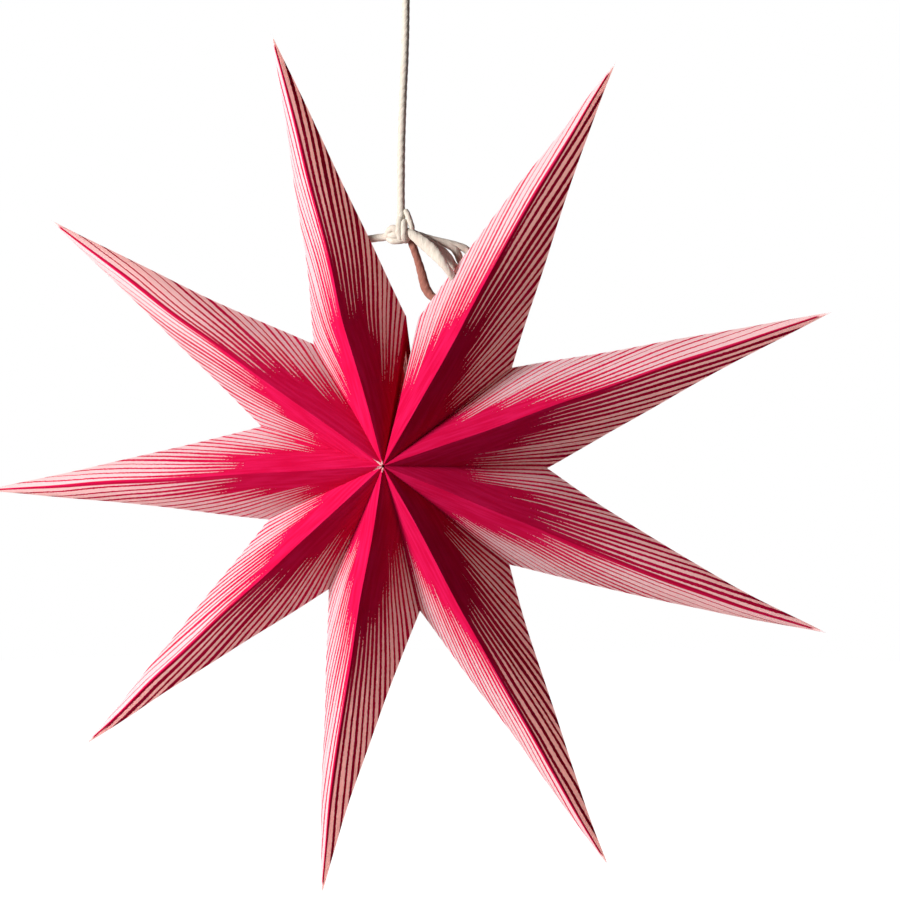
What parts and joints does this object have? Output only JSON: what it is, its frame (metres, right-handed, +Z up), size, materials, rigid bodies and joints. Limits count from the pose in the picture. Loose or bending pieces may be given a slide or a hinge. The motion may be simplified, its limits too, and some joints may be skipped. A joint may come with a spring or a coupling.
{
  "type": "hanging paper star",
  "caption": "Folded paper star with long narrow points and a printed stripe that fans out from the centre, tied open at the top and hung from a twisted cotton cord.",
  "frame": {"origin": "top inside of the hanging loop, where a hook carries it", "axes": "+Z up, the star's front faces -Y, +X to the viewer's right"},
  "size_m": [0.4369, 0.0894, 0.5088],
  "materials": {
    "printed_paper": "matt printed paper",
    "cotton_cord": "twisted cotton"
  },
  "bodies": {
    "root": {"point_1": "printed_paper", "point_2": "printed_paper", "point_3": "printed_paper", "point_4": "printed_paper", "point_5": "printed_paper", "point_6": "printed_paper", "point_7": "printed_paper", "point_8": "printed_paper", "point_9": "printed_paper", "hanging_cord": "cotton_cord", "hanging_loop": "cotton_cord", "left_tie": "cotton_cord", "right_tie": "cotton_cord", "rear_tie": "cotton_cord", "tie_knot": "cotton_cord", "loop_knot": "cotton_cord", "left_stopper": "cotton_cord", "rear_stopper": "cotton_cord"}
  },
  "joints": []
}
